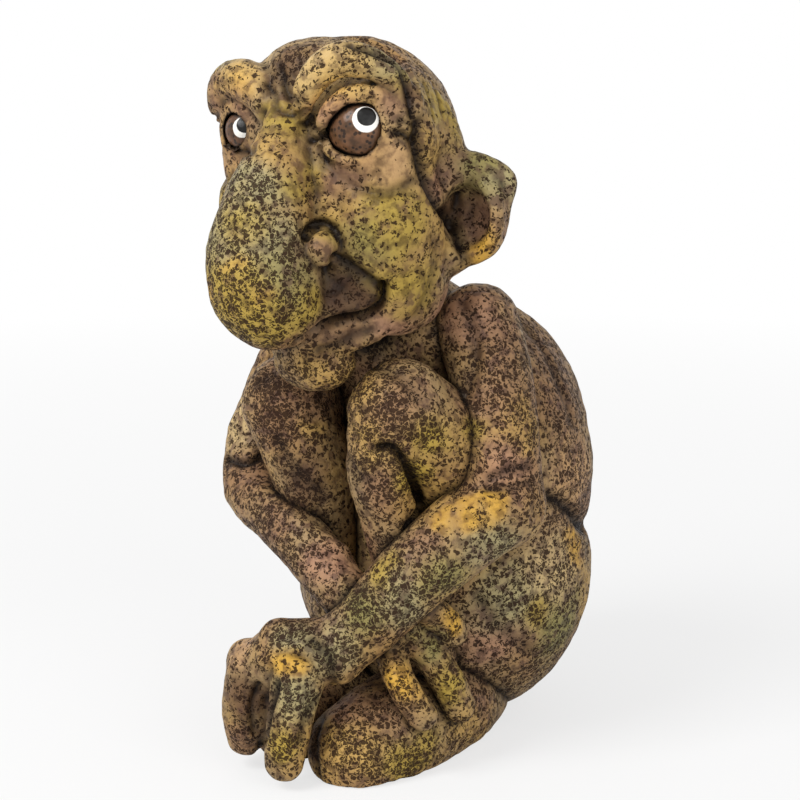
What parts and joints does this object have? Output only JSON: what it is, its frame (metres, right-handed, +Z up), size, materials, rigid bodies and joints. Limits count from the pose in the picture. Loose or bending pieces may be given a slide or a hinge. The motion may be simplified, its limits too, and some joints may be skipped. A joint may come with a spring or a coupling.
{
  "type": "troll figurine",
  "caption": "Squatting Norwegian troll ornament with a long bulbous nose, hugging its knees, cast in painted resin.",
  "frame": {"origin": "middle of the figure's outer box, at the plane that it stands on", "axes": "+Z up, -Y the way the face and knees point, +X towards the figure's own left side"},
  "size_m": [0.0855, 0.1116, 0.165],
  "materials": {
    "painted_resin": "cast resin, dusty pink-brown base with near-black creases and pits, dabbed with ochre, yellow, olive and grey, semi-matte",
    "eye_paint": "brown speckled ball with a white disc and a black pupil painted on the front, slightly glossy"
  },
  "bodies": {
    "root": {"back": "painted_resin", "chin": "painted_resin", "face": "painted_resin", "forehead": "painted_resin", "left_brow": "painted_resin", "left_cheek": "painted_resin", "left_ear": "painted_resin", "left_eye_socket": "painted_resin", "left_eyeball": "eye_paint", "left_first_finger": "painted_resin", "left_foot": "painted_resin", "left_forearm": "painted_resin", "left_hand": "painted_resin", "left_jowl": "painted_resin", "left_lower_lid": "painted_resin", "left_nostril": "painted_resin", "left_second_finger": "painted_resin", "left_shin": "painted_resin", "left_temple": "painted_resin", "left_thigh": "painted_resin", "left_upper_arm": "painted_resin", "left_upper_lid": "painted_resin", "lower_lip": "painted_resin", "neck": "painted_resin", "nose": "painted_resin", "right_brow": "painted_resin", "right_cheek": "painted_resin", "right_ear": "painted_resin", "right_eye_socket": "painted_resin", "right_eyeball": "eye_paint", "right_first_finger": "painted_resin", "right_foot": "painted_resin", "right_forearm": "painted_resin", "right_hand": "painted_resin", "right_jowl": "painted_resin", "right_lower_lid": "painted_resin", "right_nostril": "painted_resin", "right_second_finger": "painted_resin", "right_shin": "painted_resin", "right_temple": "painted_resin", "right_thigh": "painted_resin", "right_third_finger": "painted_resin", "right_upper_arm": "painted_resin", "right_upper_lid": "painted_resin", "rump": "painted_resin", "shoulders": "painted_resin", "skull": "painted_resin", "upper_lip": "painted_resin"}
  },
  "joints": []
}
